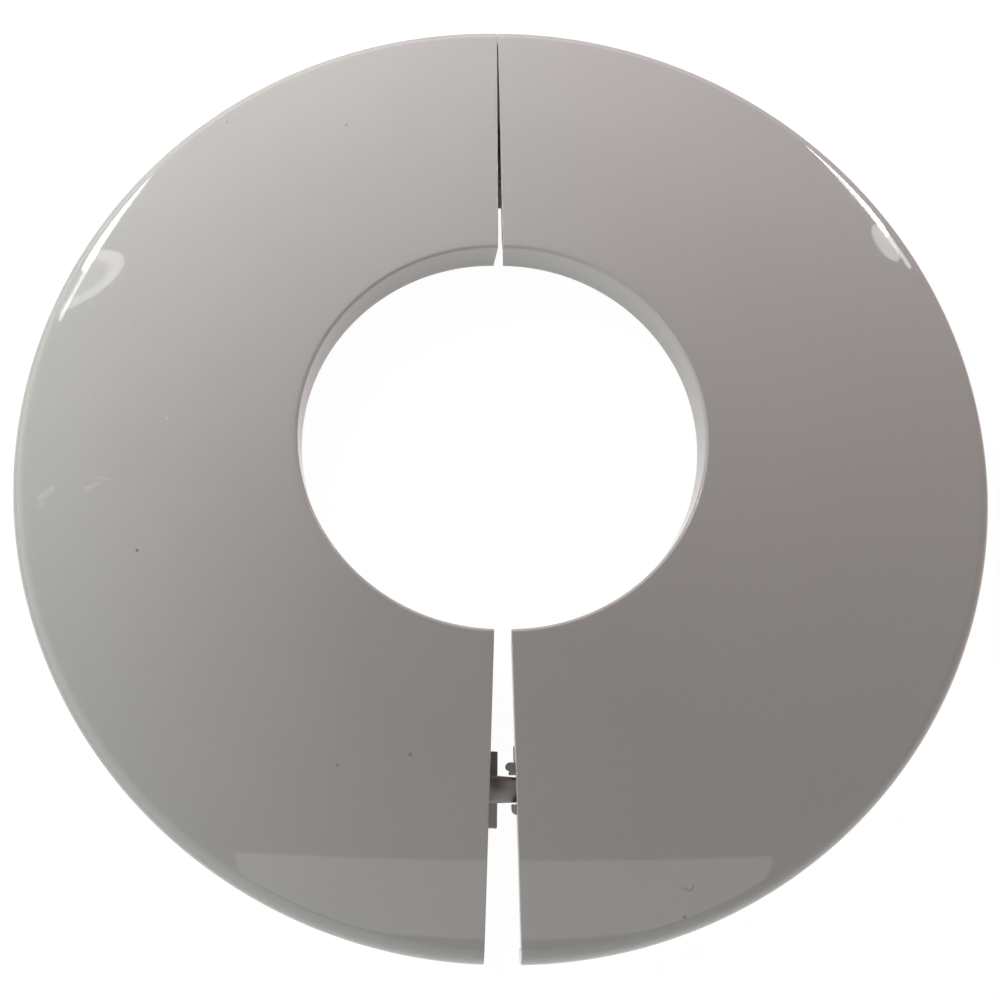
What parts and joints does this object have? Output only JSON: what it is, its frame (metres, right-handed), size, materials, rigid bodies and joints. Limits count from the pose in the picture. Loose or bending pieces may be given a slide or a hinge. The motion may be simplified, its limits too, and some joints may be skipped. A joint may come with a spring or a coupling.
{
  "type": "split pipe rosette",
  "caption": "Domed round cover ring in halves that snap together round a pipe, hiding the gap where it passes through a wall; the lower snap stands open.",
  "frame": {"origin": "middle of the rosette in the plane of the wall that it lies against, on the line midway between the halves", "axes": "+Z out of the wall along the pipe, +Y from the middle towards the snap that is closed"},
  "size_m": [0.1262, 0.125, 0.0088],
  "materials": {
    "cover_plastic": "glossy warm grey-white moulded plastic"
  },
  "bodies": {
    "left": {"left_half": "cover_plastic"},
    "right": {"right_half": "cover_plastic"}
  },
  "joints": [
    {"name": "snap_swing", "type": "hinge", "parent": "left", "child": "right", "pos_m": [0, 0.04335, 0], "axis": [0, 0, 1], "range_deg": [-1.6, 0]}
  ]
}
